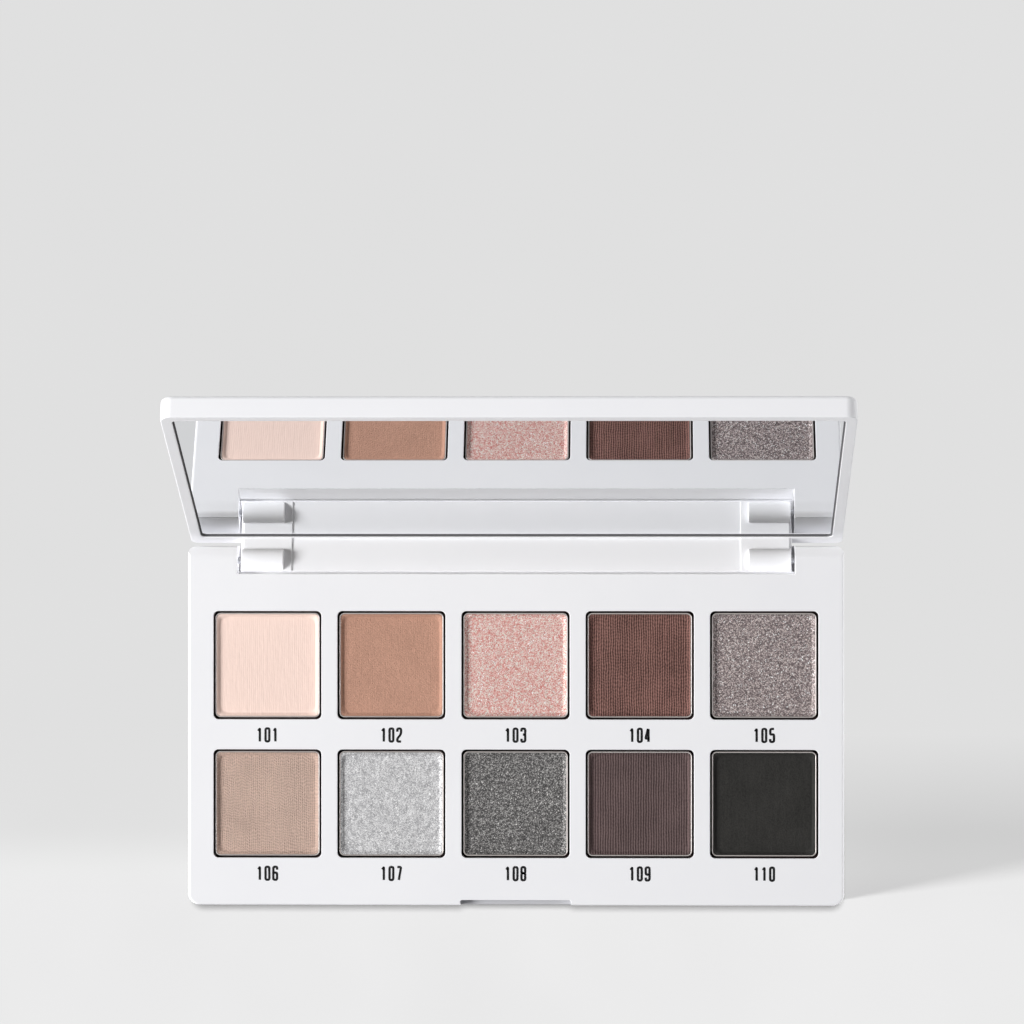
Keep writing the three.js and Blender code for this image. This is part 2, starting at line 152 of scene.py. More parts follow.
PIN_RADIUS = 0.75
SEAT_RADIUS = 2.66  # the rib on the recess's wall follows the flange's foot
SEAT_RISE = 1.05  # hinge axis to the rib's top
SEAT_FALL = 0.5
SEAT_ROOT = 0.5  # how deep the rib is rooted in the wall

NUMBER_HEIGHT = 3.28
NUMBER_DROP = 3.35  # opening's front edge to the middle of its number
NUMBER_WIDTH = 1.3
NUMBER_PITCH = 1.66
STROKE = 0.5
INK = 0.02

FLOOR_GREY = 0.05  # how much the floor throws back of its own two lamps
TOP_SHARE = 0.48  # and how bright each of them makes it
SIDE_SHARE = 0.22
FLOOR_HALF = 3000
ROOM_LIGHT = 0.16  # the room's strength on the palette, and as the mirror shows it
ROOM_SEEN = 0.7
CAMERA_HEIGHT = 1022  # over the top face
CAMERA_ASIDE = 24.2
AIM_ASIDE = -0.75
AIM_BEHIND = 7.3  # the base's back to the middle of the picture
LENS = 168.5
SENSOR = 36

SIDES = {"left": -1, "right": 1}
LID_Z = TOP + LID_GAP
LID_TOP = LID_Z + LID_THICKNESS


# ---------------------------------------------------------------- outlines, all anticlockwise

def arc(x, y, radius, start, end, steps):
    """Points of an arc between two angles in degrees."""
    points = []
    for step in range(steps + 1):
        angle = math.radians(start + (end - start) * step / steps)
        points.append((x + radius * math.cos(angle), y + radius * math.sin(angle)))
    return points


def rounded(x0, y0, x1, y1, front, rear=None, steps=8):
    """A rectangle with round corners, whose rear pair may have a radius of its own."""
    rear = front if rear is None else rear
    return (
        arc(x1 - front, y0 + front, front, -90, 0, steps)
        + arc(x1 - rear, y1 - rear, rear, 0, 90, steps)
        + arc(x0 + rear, y1 - rear, rear, 90, 180, steps)
        + arc(x0 + front, y0 + front, front, 180, 270, steps)
    )


def plan(inset=0.0):
    """The palette's outline from above."""
    front = max(FRONT_CORNER - inset, 0.3)
    rear = max(REAR_CORNER - inset, 0.3)
    return rounded(-SIDE + inset, FRONT + inset, SIDE - inset, BACK - inset, front, rear, 10)


def square(centre, side, corner):
    half = side / 2
    return rounded(centre.x - half, centre.y - half, centre.x + half, centre.y + half, corner)


def circle(radius, x=0.0, y=0.0, steps=48):
    return arc(x, y, radius, 0, 360 * (steps - 1) / steps, steps - 1)


def moved_in(outline, distance):
    """An outline moved in by a distance, along the mitre at each point."""
    count = len(outline)
    result = []
    for index, point in enumerate(outline):
        here = Vector(point)
        before = here - Vector(outline[index - 1])
        after = Vector(outline[(index + 1) % count]) - here
        before.normalize()
        after.normalize()
        left_before = Vector((-before.y, before.x))
        left_after = Vector((-after.y, after.x))
        mitre = left_before + left_after
        mitre *= 2 / max(mitre.length_squared, 0.5)
        result.append(here + mitre * distance)
    return result


# ---------------------------------------------------------------- solids

def upright(u, v, w):
    """Outline in XY, height along Z."""
    return Vector((u, v, w))


def along_x(u, v, w):
    """Outline in YZ, height along X."""
    return Vector((w, u, v))


def open_up(piece):
    """Turns a piece of the lid, drawn closed, to where the open lid has it."""
    hinge = Vector((0, HINGE_Y, HINGE_Z)) * METRE
    turn = Matrix.Rotation(-OPEN, 4, "X")
    piece.data.transform(Matrix.Translation(hinge) @ turn @ Matrix.Translation(-hinge))


def new_object(name, build):
    """An object whose mesh build fills in millimetres."""
    work = bmesh.new()
    build(work)
    bmesh.ops.recalc_face_normals(work, faces=work.faces)
    bmesh.ops.scale(work, vec=(METRE, METRE, METRE), verts=work.verts)
    data = bpy.data.meshes.new(name)
    work.to_mesh(data)
    work.free()
    made = bpy.data.objects.new(name, data)
    bpy.context.scene.collection.objects.link(made)
    return made


def loft(name, outline, levels, place=upright):
    """A closed solid: the outline moved in by each level's inset, at each level's height."""

    def build(work):
        rings = []
        for inset, height in levels:
            ring = [work.verts.new(place(p[0], p[1], height)) for p in moved_in(outline, inset)]
            rings.append(ring)
        count = len(outline)
        for low, high in zip(rings, rings[1:]):
            for index in range(count):
                after = (index + 1) % count
                work.faces.new((low[index], low[after], high[after], high[index]))
        work.faces.new(rings[0][::-1])
        work.faces.new(rings[-1])

    return new_object(name, build)


def round_over(edge, height, steps=6):
    """Levels that round an edge off as the solid reaches its top."""
    angles = [math.pi / 2 * step / steps for step in range(steps + 1)]
    return [(edge * (1 - math.cos(a)), height - edge * (1 - math.sin(a))) for a in angles]


def round_under(edge, height, steps=6):
    """Levels that round an edge off as the solid leaves its bottom."""
    return [(inset, 2 * height - level) for inset, level in round_over(edge, height, steps)[::-1]]


def flare(edge, height, past, steps=4):
    """A cutter's levels where it leaves a face, so that the cut's edge is round."""
    angles = [math.pi / 2 * step / steps for step in range(steps + 1)]
    levels = [(-edge * (1 - math.cos(a)), height - edge * (1 - math.sin(a))) for a in angles]
    return levels + [(-edge, height + past)]


def combine(target, tool, operation):
    """Cuts or joins with another solid, which is used up."""
    modifier = target.modifiers.new(operation, "BOOLEAN")
    modifier.object = tool
    modifier.operation = operation
    modifier.solver = "EXACT"
    graph = bpy.context.evaluated_depsgraph_get()
    made = bpy.data.meshes.new_from_object(target.evaluated_get(graph))
    target.modifiers.clear()
    target.data = made
    bpy.data.objects.remove(tool)


def cut(target, *tools):
    for tool in tools:
        combine(target, tool, "DIFFERENCE")


def join(target, *tools):
    for tool in tools:
        combine(target, tool, "UNION")


def block(x0, y0, z0, x1, y1, z1):
    return loft("block", [(x0, y0), (x1, y0), (x1, y1), (x0, y1)], [(0, z0), (0, z1)])


def shade_smooth(piece, sharp=50):
    """Smooth faces, with flat ones kept flat by weighted normals."""
    piece.data.polygons.foreach_set("use_smooth", [True] * len(piece.data.polygons))
    piece.data.set_sharp_from_angle(angle=math.radians(sharp))
    weighted = piece.modifiers.new("weighted", "WEIGHTED_NORMAL")
    weighted.keep_sharp = True
    weighted.weight = 100


def score(piece, *places):
    """Edges across a piece at places along X, so that its rounded sides don't shade its flat faces."""
    work = bmesh.new()
    work.from_mesh(piece.data)
    for x in places:
        everything = work.verts[:] + work.edges[:] + work.faces[:]
        at = (x * METRE, 0, 0)
        bmesh.ops.bisect_plane(work, geom=everything, dist=1e-7, plane_co=at, plane_no=(1, 0, 0))
    work.to_mesh(piece.data)
    work.free()


def settle(piece, finish, body, slot, *nodes):
    """Gives a piece its material and its body, and hides the CAD nodes that it stands for. Its slot is not
    used.
    """
    piece.data.materials.clear()
    piece.data.materials.append(finish)
    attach(piece, body)
    if nodes:
        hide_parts(*nodes)


# ---------------------------------------------------------------- materials

class Finish:
    """A material on one Principled shader, with short ways to add the nodes that drive it."""

    def __init__(self, name, **sockets):
        self.material = bpy.data.materials.new(name)
        self.material.use_nodes = True
        self.tree = self.material.node_tree
        self.shader = self.tree.nodes["Principled BSDF"]
        for socket, value in sockets.items():
            self.shader.inputs[socket.replace("_", " ")].default_value = value
        coordinates = self.tree.nodes.new("ShaderNodeTexCoord")
        self.place = self.node("ShaderNodeVectorMath", operation="SCALE", Scale=1 / METRE)
        self.tree.links.new(coordinates.outputs["Object"], self.place.inputs[0])

    def node(self, kind, *plugs, **settings):
        """A node. plugs go to its first sockets, and settings to its properties or named sockets."""
        made = self.tree.nodes.new(kind)
        for name, value in settings.items():
            if hasattr(made, name):
                setattr(made, name, value)
            else:
                self.plug(made.inputs[name.replace("_", " ")], value)
        for socket, value in zip(made.inputs, plugs):
            if value is not None:
                self.plug(socket, value)
        return made

    def plug(self, socket, value):
        if hasattr(value, "outputs"):
            value = value.outputs[0]
        if isinstance(value, bpy.types.NodeSocket):
            self.tree.links.new(value, socket)
        else:
            socket.default_value = value

    def stretched(self, x, y, z):
        """The place on the object in millimetres, stretched along each axis."""
        return self.node("ShaderNodeVectorMath", self.place, (x, y, z), operation="MULTIPLY")

    def grain(self, scale, detail=3.0, roughness=0.5, place=None):
        """Noise with about scale features to the millimetre."""
        return self.node(
            "ShaderNodeTexNoise", place or self.place, None, scale, detail, roughness
        )

    def spread(self, value, low, high):
        """A value from about 0.3 to 0.7, such as noise gives, spread from low to high."""
        return self.node("ShaderNodeMapRange", value, 0.3, 0.7, low, high)

    def blend(self, share, first, second):
        """Two colours mixed by a share."""
        mixed = self.node("ShaderNodeMix", data_type="RGBA")
        self.plug(mixed.inputs["Factor"], share)
        for socket, colour in zip((mixed.inputs[6], mixed.inputs[7]), (first, second)):
            self.plug(socket, colour)
        return mixed.outputs[2]

    def within(self, value, low, high):
        """1 where a value lies between two limits, and 0 elsewhere."""
        above = self.math("GREATER_THAN", value, low)
        return self.math("MULTIPLY", above, self.math("LESS_THAN", value, high))

    def math(self, operation, first, second):
        return self.node("ShaderNodeMath", first, second, operation=operation)

    def along(self, direction):
        """How far a place lies along a direction, in millimetres."""
        made = self.node("ShaderNodeVectorMath", self.place, direction, operation="DOT_PRODUCT")
        return made.outputs["Value"]

    def bump(self, height, distance):
        """A bump whose height of 1 is a distance in millimetres."""
        return self.node("ShaderNodeBump", Strength=1.0, Distance=distance * METRE, Height=height)

    def drive(self, socket, value):
        self.plug(self.shader.inputs[socket], value)


def rgb(red, green, blue):
    """A colour given as screen values from 0 to 255."""
    linear = []
    for value in (red, green, blue):
        share = value / 255
        linear.append(share / 12.92 if share < 0.04045 else ((share + 0.055) / 1.055) ** 2.4)
    return (*linear, 1.0)


def scaled(colour, factor):
    return (*[min(value * factor, 1.0) for value in colour[:3]], 1.0)


def all_of(finish, *shares):
    """A mask that is 1 where every one of its shares is."""
    mask = shares[0]
    for share in shares[1:]:
        mask = finish.math("MULTIPLY", mask, share)
    return mask


def well_shade_mask(finish, aside, along, up):
    """1 on the walls and floors of the pans' wells, below their white edge, where shade is painted."""
    return all_of(
        finish,
        finish.math("LESS_THAN", aside, SIDE - WELL_SHADE_SIDE),
        finish.within(along, FRONT + WELL_SHADE_FRONT, BACK - RECESS_DEPTH - WELL_SHADE_REAR),
        finish.within(up, TOP - WELL_DROP - SHADE_PAST, TOP - WELL_SHADE_START),
    )


def bed_shade_mask(finish, aside):
    """1 round the mirror in the open lid, where shade is painted in the gap round the glass, measured along
    the lid's own depth and length.
    """
    turn = Matrix.Rotation(-OPEN, 3, "X")
    depth_way = turn @ Vector((0, 0, 1))
    length_way = turn @ Vector((0, 1, 0))
    hinge = Vector((0, HINGE_Y, HINGE_Z))
    rim = hinge.dot(depth_way) + LID_Z - HINGE_Z
    middle = hinge.dot(length_way) - HINGE_Y
    front = middle + FRONT + RIM_FRONT - WALL_PAST
    rear = middle + BACK - RIM_REAR + WALL_PAST
    return all_of(
        finish,
        finish.math("LESS_THAN", aside, SIDE - RIM_SIDE + WALL_PAST),
        finish.within(finish.along(depth_way), rim + BED_SHADE_DROP, rim + LEDGE + SHADE_PAST),
        finish.within(finish.along(length_way), front, rear),
    )


def notch_shade_mask(finish, aside, along, up):
    """1 on the edge of the base shell that shows in the finger notch, where shade is painted grey."""
    return all_of(
        finish,
        finish.math("LESS_THAN", aside, NOTCH_HALF + SHADE_PAST),
        finish.math("LESS_THAN", along, FRONT + NOTCH_DEPTH + SHADE_PAST),
        finish.within(up, TOP - SEAM - NOTCH_SHADE_LOW, TOP - SEAM + NOTCH_SHADE_HIGH),
    )


def white_plastic():
    """Satin white plastic, with shade painted on: dark in the pans' wells and round the mirror, and grey in
    the notch.
    """
    finish = Finish("white_plastic", IOR=1.45, Specular_IOR_Level=0.3)
    cloud = finish.grain(0.05, 2)
    white = finish.blend(cloud, rgb(240, 240, 243), rgb(245, 245, 247))
    mottle = finish.grain(1.5, 3)
    # Painted shade: the dark brown on the walls and floors of the pans' wells stands for the shade in the
    # gaps round the pans.
    well_shade = finish.blend(mottle, rgb(86, 68, 68), rgb(102, 83, 83))
    # Painted shade: the dark grey round the mirror stands for the shade in the gap between the glass and
    # the lid.
    bed_shade = finish.blend(mottle, rgb(98, 98, 101), rgb(110, 110, 113))
    across, along, up = finish.node("ShaderNodeSeparateXYZ", finish.place).outputs
    aside = finish.math("ABSOLUTE", across, 0)
    well_shaded = finish.blend(well_shade_mask(finish, aside, along, up), white, well_shade)
    bed_shaded = finish.blend(bed_shade_mask(finish, aside), well_shaded, bed_shade)
    # Painted shade: the grey on the shell's edge in the notch stands for the shade under the notch.
    notch_shaded = finish.blend(notch_shade_mask(finish, aside, along, up), bed_shaded, rgb(186, 186, 190))
    finish.drive("Base Color", notch_shaded)
    finish.drive("Roughness", finish.spread(finish.grain(0.4, 4), 0.4, 0.5))
    finish.drive("Normal", finish.bump(finish.grain(0.2, 2), 0.01))
    return finish.material


def tinplate():
    finish = Finish("tinplate", Metallic=0.45, Specular_IOR_Level=0.6)
    rolled = finish.grain(1.2, 4, place=finish.stretched(1, 12, 1))
    finish.drive("Base Color", finish.blend(rolled, rgb(214, 206, 202), rgb(232, 226, 222)))
    finish.drive("Roughness", finish.spread(rolled, 0.35, 0.5))
    finish.drive("Normal", finish.bump(rolled, 0.004))
    return finish.material


def silvering():
    finish = Finish("silvered_glass", Metallic=1.0, Roughness=0.0)
    haze = finish.grain(0.03, 3)
    finish.drive("Base Color", finish.blend(haze, rgb(233, 235, 237), rgb(238, 239, 241)))
    return finish.material


def steel(name, low, high):
    finish = Finish(name, Metallic=1.0)
    drawn = finish.grain(2.5, 3, place=finish.stretched(0.1, 1, 1))
    finish.drive("Base Color", finish.blend(drawn, rgb(184, 186, 190), rgb(206, 208, 212)))
    finish.drive("Roughness", finish.spread(drawn, low, high))
    finish.drive("Normal", finish.bump(drawn, 0.003))
    return finish.material


def glue():
    finish = Finish("hot_melt", Subsurface_Weight=0.2, IOR=1.48)
    cloud = finish.grain(0.3, 3)
    finish.drive("Base Color", finish.blend(cloud, rgb(226, 216, 184), rgb(240, 232, 208)))
    finish.drive("Roughness", finish.spread(cloud, 0.35, 0.6))
    finish.drive("Normal", finish.bump(cloud, 0.05))
    return finish.material


def foam():
    finish = Finish("foam_tape")
    cells = finish.node("ShaderNodeTexVoronoi", finish.place, None, 3.0)
    finish.drive("Base Color", finish.blend(cells.outputs[0], rgb(206, 202, 192), rgb(228, 225, 216)))
    finish.drive("Roughness", finish.spread(finish.grain(1.0), 0.85, 0.95))
    finish.drive("Normal", finish.bump(cells.outputs[0], 0.05))
    return finish.material


def ink():
    finish = Finish("black_ink", IOR=1.45)
    speck = finish.grain(4, 3)
    finish.drive("Base Color", finish.blend(speck, rgb(10, 10, 12), rgb(24, 24, 26)))
    finish.drive("Roughness", finish.spread(speck, 0.35, 0.55))
    finish.drive("Normal", finish.bump(speck, 0.004))
    return finish.material


def matt_powder(name, colour, shade_and_mottle, ribs=0.0, rows=0.0, streaks=0.0, grain=0.5, pitch=0.5, sway=0.6,
                depth=0.05):
    """Pressed powder: grain, and the upright ribs, cross rows and streaks of the cloth that pressed it.

    The ribs sway from side to side. Furrows get painted shade and what stands up a painted light, over a
    random mottle."""
    finish = Finish(name, IOR=1.35, Sheen_Weight=0.1, Sheen_Roughness=0.5)
    finish.shader.inputs["Sheen Tint"].default_value = colour
    across, along, _ = finish.node("ShaderNodeSeparateXYZ", finish.place).outputs
    turns = 2 * math.pi / pitch
    drift = finish.spread(finish.grain(0.35, 2), -sway, sway)
    rib = finish.math("SINE", finish.math("ADD", finish.math("MULTIPLY", across, turns), drift), 0)
    shift = finish.spread(finish.grain(0.7, 2, place=finish.stretched(1, 0.3, 1)), -5, 5)
    row = finish.math("SINE", finish.math("ADD", finish.math("MULTIPLY", along, turns * 0.7), shift), 0)
    drawn = finish.grain(0.9 / pitch, 3, 0.7, finish.stretched(1, 0.09, 1))
    streak = finish.spread(drawn, -streaks, streaks)
    cloth = finish.math("ADD", finish.math("MULTIPLY", rib, ribs), finish.math("MULTIPLY", row, rows))
    speck = finish.spread(finish.grain(3.0, 3, 0.8), -grain, grain)
    height = finish.math("ADD", finish.math("ADD", cloth, streak), speck)
    mottle = finish.spread(finish.grain(0.12, 2), -0.3, 0.3)
    # Painted shade and light: the colour darkens in the furrows and lightens on what stands up, mixed with
    # a random mottle.
    furrow_shade_and_mottle = finish.node("ShaderNodeMapRange", finish.math("ADD", height, mottle), -1.2, 1.2, 0, 1)
    dark, light = scaled(colour, 1 - shade_and_mottle), scaled(colour, 1 + shade_and_mottle)
    finish.drive("Base Color", finish.blend(furrow_shade_and_mottle, dark, light))
    finish.drive("Roughness", finish.spread(speck, 0.85, 0.97))
    finish.drive("Normal", finish.bump(height, depth))
    return finish.material


def shimmer_powder(name, dark, middle, light, clumping=0.03, lumps=0.02):
    """Pressed powder full of small flakes, each with its own colour and tilt, with painted glints in the
    flakes' middles and on a few that spark.
    """
    finish = Finish(name, IOR=1.45)
    cells = finish.node("ShaderNodeTexVoronoi", finish.place, None, FLAKES)
    split = finish.node("ShaderNodeSeparateColor", cells.outputs["Color"])
    clumps = finish.spread(finish.grain(0.6, 3, 0.7), -clumping, clumping)
    # Painted glints: each flake is lighter in its middle than at its edge.
    glint_centre = finish.node("ShaderNodeMapRange", cells.outputs["Distance"], 0, 0.8, 0.3, -0.2)
    share = finish.math("ADD", finish.math("ADD", split.outputs[0], clumps), glint_centre)
    # The flakes' dark, middle and light colours are partly the powder's own mix and partly painted glint
    # and shade.
    low = finish.node("ShaderNodeMapRange", share, 0.1, 0.55, 0, 1)
    high = finish.node("ShaderNodeMapRange", share, 0.6, 0.95, 0, 1)
    shades = finish.blend(high, finish.blend(low, dark, middle), light)
    # Painted glints: a few flakes get a colour brighter than the lightest shade.
    spark_glint = finish.node("ShaderNodeMapRange", split.outputs[1], 1 - GLINT_SHARE, 1 - GLINT_SHARE / 2, 0, 1)
    finish.drive("Base Color", finish.blend(spark_glint, shades, scaled(light, 1.5)))
    finish.drive("Metallic", finish.node("ShaderNodeMapRange", split.outputs[2], 0, 1, 0, 2 * FLAKE_METAL))
    finish.drive("Roughness", finish.node("ShaderNodeMapRange", split.outputs[1], 0, 1, 0.5, 0.75))
    half = (0.5, 0.5, 0.5)
    lean = finish.node("ShaderNodeVectorMath", cells.outputs["Color"], half, operation="SUBTRACT")
    lean = finish.node("ShaderNodeVectorMath", lean, (FLAKE_TILT, FLAKE_TILT, 0), operation="MULTIPLY")
    surface = finish.bump(finish.grain(3.0, 4, 0.75), lumps)
    sum_of = finish.node("ShaderNodeVectorMath", surface, lean, operation="ADD")
    finish.drive("Normal", finish.node("ShaderNodeVectorMath", sum_of, operation="NORMALIZE"))
    return finish.material


def powders():
    """The ten shades' materials, back row then front row, left to right."""
    return [
        matt_powder("shade_01", rgb(250, 223, 211), 0.035, ribs=0.3, streaks=0.8, grain=0.2, pitch=0.42,
                    depth=0.015),
        matt_powder("shade_02", rgb(199, 153, 132), 0.22, ribs=0.1, rows=0.1, streaks=0.2, grain=0.8,
                    pitch=0.4),
        shimmer_powder("shade_03", rgb(188, 116, 108), rgb(234, 194, 187), rgb(255, 252, 240), 0.06),
        matt_powder("shade_04", rgb(122, 88, 81), 0.7, ribs=0.9, rows=0.35, streaks=0.3, sway=1.2),
        shimmer_powder("shade_05", rgb(82, 72, 72), rgb(150, 136, 136), rgb(240, 226, 222)),
        matt_powder("shade_06", rgb(199, 172, 158), 0.24, ribs=0.35, rows=0.5, streaks=0.35, pitch=0.42,
                    sway=1.5),
        shimmer_powder("shade_07", rgb(152, 152, 154), rgb(210, 209, 210), rgb(255, 255, 255), 0.22,
                       lumps=0.06),
        shimmer_powder("shade_08", rgb(48, 47, 47), rgb(106, 104, 103), rgb(190, 188, 186)),
        matt_powder("shade_09", rgb(98, 81, 80), 0.42, ribs=0.9, rows=0.2, streaks=0.3, pitch=0.54,
                    sway=0.8),
        matt_powder("shade_10", rgb(48, 47, 45), 0.5, streaks=0.3, grain=0.8, depth=0.03),
    ]


# ---------------------------------------------------------------- base

def recess_cutter(low, high, edge, front=BACK - RECESS_DEPTH):
    outline = rounded(-RECESS_HALF, front, RECESS_HALF, BACK + CLEAR, 0.3)
    return loft("recess", outline, [(0, low)] + flare(edge, high, CLEAR))


def relief_cutter():
    """What the swing of the lid's rim leaves of the rear top edge."""
    radius = TOP - HINGE_Z
    last = math.degrees(math.acos((BACK - RELIEF_END - HINGE_Y) / radius))
    curve = arc(HINGE_Y, HINGE_Z, radius, last, 90, 16)
    drop = curve[0][1] - RELIEF_DROP
    behind, over = BACK + CLEAR, TOP + 2 * PAST
    outline = [(BACK, drop), (behind, drop), (behind, over), (HINGE_Y, over)] + curve[::-1]
    return loft("relief", outline, [(0, -SIDE - CLEAR), (0, SIDE + CLEAR)], along_x)


def seat_rib():
    """The rib on the recess's wall that the flange's foot turns against."""
    wall = BACK - RECESS_DEPTH - SEAT_ROOT
    low = 180 + math.degrees(math.asin(SEAT_FALL / SEAT_RADIUS))
    high = 180 - math.degrees(math.asin(SEAT_RISE / SEAT_RADIUS))
    curve = arc(HINGE_Y, HINGE_Z, SEAT_RADIUS, low, high, 12)
    outline = [(wall, curve[0][1])] + curve + [(wall, curve[-1][1])]
    reach = RECESS_HALF - 0.1
    return loft("seat", outline, [(0, -reach), (0, reach)], along_x)


def pan_tray(finish):
    seam = TOP - SEAM
    foot = TRAY_LOW.z
    levels = [(LIP, foot), (LIP, seam), (SEAM_EDGE, seam), (0, seam + SEAM_EDGE)]
    tray = loft("top_face", plan(), levels + round_over(FACE_EDGE, TOP))
    for side in SIDES.values():
        near, far = sorted((side * (RECESS_HALF - 0.05), side * (EAR_OUTER + 0.2)))
        cut(tray, block(near, BACK - RECESS_DEPTH - TROUGH_AHEAD, foot - PAST, far, BACK + PAST, seam))
    cut(tray, recess_cutter(foot - PAST, TOP, CUT_EDGE), relief_cutter())
    notch = rounded(-NOTCH_HALF, FRONT - CLEAR, NOTCH_HALF, FRONT + NOTCH_DEPTH, 0.2, 0.4)
    cut(tray, loft("notch", notch, [(0, foot - PAST)] + flare(CUT_EDGE, TOP, CLEAR)))
    for number in SHADES:
        low, high = box("pan_" + number)
        opening = square((low + high) / 2, OPENING, OPENING_CORNER)
        cut(tray, loft("opening", opening, [(0, TOP - WELL_DROP)] + flare(CUT_EDGE, TOP, CLEAR)))
    join(tray, seat_rib())
    score(tray, FACE_EDGE + 0.02 - SIDE, SIDE - FACE_EDGE - 0.02)
    shade_smooth(tray)
    settle(tray, finish, "base", "white_plastic", "pan_tray")
    return tray


def base_shell(finish):
    rim = SHELL_HIGH.z
    levels = round_under(UNDER_EDGE, 0) + [(0, rim - SEAM_EDGE), (SEAM_EDGE, rim)]
    shell = loft("bottom_case", plan(), levels)
    half = SIDE - SHELL_WALL
    rear = BACK - RECESS_DEPTH - SHELL_REAR
    inner = rounded(-half, FRONT + SHELL_WALL, half, rear, SHELL_CORNER)
    cut(shell, loft("inside", inner, [(0, SHELL_FLOOR), (0, rim + PAST)]))
    cut(shell, recess_cutter(STOP_FLOOR, rim + PAST, 0.05, BACK - RECESS_DEPTH - TROUGH_AHEAD))
    bore = circle(BORE_RADIUS, HINGE_Y, HINGE_Z)
    reach = EAR_OUTER - BORE_END
    cut(shell, loft("bore", bore, [(0, -reach), (0, reach)], along_x))
    shade_smooth(shell)
    settle(shell, finish, "base", "white_plastic", "base_shell")
    return shell


def pans(finish):
    """Pressed tinplate pans with a rolled rim."""
    for number in SHADES:
        low, high = box("pan_" + number)
        side = high.x - low.x
        half = TINPLATE / 2
        rim = [(half - half * math.cos(a), high.z - half + half * math.sin(a))
               for a in [math.pi * step / 8 for step in range(9)]]
        levels = round_under(PAN_EDGE, low.z) + rim + [(TINPLATE, low.z + TINPLATE)]
        pan = loft("tin_" + number, square((low + high) / 2, side, PAN_CORNER), levels)
        shade_smooth(pan)
        settle(pan, finish, "base", "tinplate", "pan_" + number)


# ---------------------------------------------------------------- powder cakes

def outside(x, y, half, corner):
    """Distance from a rounded square, which is negative inside it."""
    across = abs(x) - half + corner
    along = abs(y) - half + corner
    return math.hypot(max(across, 0), max(along, 0)) + min(max(across, along), 0) - corner


def cake_height(x, y, half, lumps, crumbs, seed):
    """Height over the cake's edge: a sunk flat, and a border that climbs to the edge."""
    outer = outside(x, y, half, CAKE_CORNER)
    inner = outside(x, y, half - DISH_BORDER, DISH_CORNER)
    climb = 0.0
    if inner > 0:
        climb = min(inner / max(inner - outer, 1e-6), 1.0)
    rise = climb * climb * (3 - 2 * climb)
    place = Vector((x, y, seed))
    rolling = noise.fractal(place * 0.9, 1.0, 2.0, 4) * lumps
    broken = noise.noise(place * 2.6) * crumbs * math.sin(math.pi * climb)
    return -DISH_DEPTH * (1 - rise) + rolling * (1 - rise * 0.6) + broken


def cake(name, centre, half, edge, foot, lumps, crumbs, seed):
    """A cake whose grid of points runs in nested rounded squares, so that its corners stay clean."""

    def build(work):
        rows = []
        for row in range(CAKE_STEPS + 1):
            line = []
            for column in range(CAKE_STEPS + 1):
                u = 2 * column / CAKE_STEPS - 1
                v = 2 * row / CAKE_STEPS - 1
                ring = max(abs(u), abs(v))
                corner = ring * CAKE_CORNER
                core = ring * half - corner
                across = abs(u) * half - core
                along = abs(v) * half - core
                if across > 0 and along > 0:
                    shrink = corner / math.hypot(across, along)
                    across *= shrink
                    along *= shrink
                x = math.copysign(core + across, u)
                y = math.copysign(core + along, v)
                z = edge + cake_height(x, y, half, lumps, crumbs, seed)
                line.append(work.verts.new((centre.x + x, centre.y + y, z)))
            rows.append(line)
        for low, high in zip(rows, rows[1:]):
            for a, b, c, d in zip(low, low[1:], high[1:], high):
                work.faces.new((a, b, c, d))
        right = [line[-1] for line in rows[1:]]
        left = [line[0] for line in rows[-2:0:-1]]
        rim = rows[0] + right + rows[-1][-2::-1] + left
        base = [work.verts.new((vert.co.x, vert.co.y, foot)) for vert in rim]
        for index, vert in enumerate(rim):
            before = index - 1
            work.faces.new((rim[before], vert, base[index], base[before]))
        work.faces.new(base)

    return new_object(name, build)


def cakes():
    relief = {"03": (0.03, 0.14), "05": (0.02, 0.07), "07": (0.05, 0.16), "08": (0.02, 0.06)}
    for number, finish in zip(SHADES, powders()):
        low, high = box("powder_" + number)
        lumps, crumbs = relief.get(number, (0.012, 0.02))
        half = (high.x - low.x) / 2
        seed = 7.3 * int(number)
        piece = cake("cake_" + number, (low + high) / 2, half, high.z, low.z, lumps, crumbs, seed)
        shade_smooth(piece, 70)
        settle(piece, finish, "base", "shade_" + number, "powder_" + number)


# ---------------------------------------------------------------- numbers under the pans

# Each digit's strokes on a grid from -1 to 1 both ways. A stroke that comes back to its start is closed.
DIGITS = {
    "0": [[(-1, -1), (1, -1), (1, 1), (-1, 1), (-1, -1)]],
    "1": [[(-0.7, 0.6), (0.1, 1), (0.1, -1)]],
    "2": [[(-1, 0.5), (-1, 1), (1, 1), (1, 0.15), (-1, -0.55), (-1, -1), (1, -1)]],
    "3": [[(-1, 0.55), (-1, 1), (1, 1), (1, 0.08), (-0.2, 0.08)],
          [(0, 0.08), (1, 0.08), (1, -1), (-1, -1), (-1, -0.55)]],
    "4": [[(0.45, -1), (0.45, 1)], [(0.2, 1), (-1, -0.3), (-1, -0.5), (1.15, -0.5)]],
    "5": [[(1, 1), (-0.9, 1), (-1, 0.1), (1, 0.2), (1, -1), (-1, -1), (-1, -0.55)]],
    "6": [[(1, 0.55), (1, 1), (-1, 1), (-1, -1), (1, -1), (1, 0.1), (-0.9, 0.1)]],
    "7": [[(-1, 1), (1, 1), (-0.2, -1)]],
    "8": [[(-1, 0.08), (1, 0.08), (1, 1), (-1, 1), (-1, 0.08)],
          [(-1, -1), (1, -1), (1, 0.08), (-1, 0.08), (-1, -1)]],
    "9": [[(-1, -0.55), (-1, -1), (1, -1), (1, 1), (-1, 1), (-1, -0.1), (0.9, -0.1)]],
}


